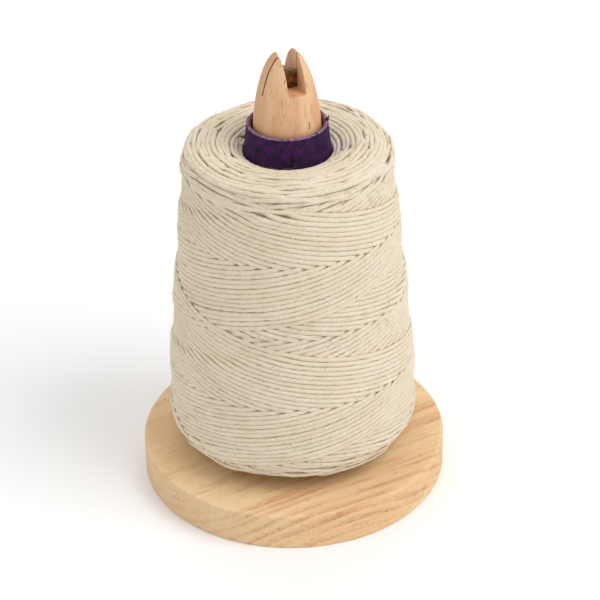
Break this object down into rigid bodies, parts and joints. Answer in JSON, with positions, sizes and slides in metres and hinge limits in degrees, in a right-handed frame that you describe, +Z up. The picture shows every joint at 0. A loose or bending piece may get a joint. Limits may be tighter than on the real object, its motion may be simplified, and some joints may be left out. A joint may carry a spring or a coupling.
{
  "type": "string cone on a spindle stand",
  "caption": "Cross-wound cone of thick cotton string on a papered card cone, standing on a round wooden spindle stand whose slotted nose holds a small string-cutting blade.",
  "frame": {"origin": "centre of the base disc's underside", "axes": "+Z up along the peg, the slot in the peg's nose along Y, the blade across it along X"},
  "size_m": [0.15, 0.15, 0.2272],
  "materials": {
    "pine_base": "bare sanded pine",
    "peg_wood": "bare turned wood, rubbed smooth",
    "blade_steel": "dark blued steel with a bright ground bevel",
    "screw_steel": "zinc plated",
    "cardboard": "grey-brown wound cardboard",
    "purple_paper": "scuffed purple paper",
    "cotton_string": "natural undyed cotton string"
  },
  "bodies": {
    "stand": {"base_disc": "pine_base", "spindle_peg": "peg_wood", "cutter_blade": "blade_steel", "base_screw": "screw_steel"},
    "cone_tube": {"cardboard_cone": "cardboard"},
    "string_wrap": {"paper_sleeve": "purple_paper", "string_package": "cotton_string"}
  },
  "joints": [
    {"name": "cone_lift_off", "type": "slide", "parent": "stand", "child": "cone_tube", "axis": [0, 0, 1], "range_m": [0, 0.215]},
    {"name": "cone_spin", "type": "hinge", "parent": "cone_tube", "child": "string_wrap", "pos_m": [0, 0, 0.1], "axis": [0, 0, 1], "continuous": true}
  ]
}
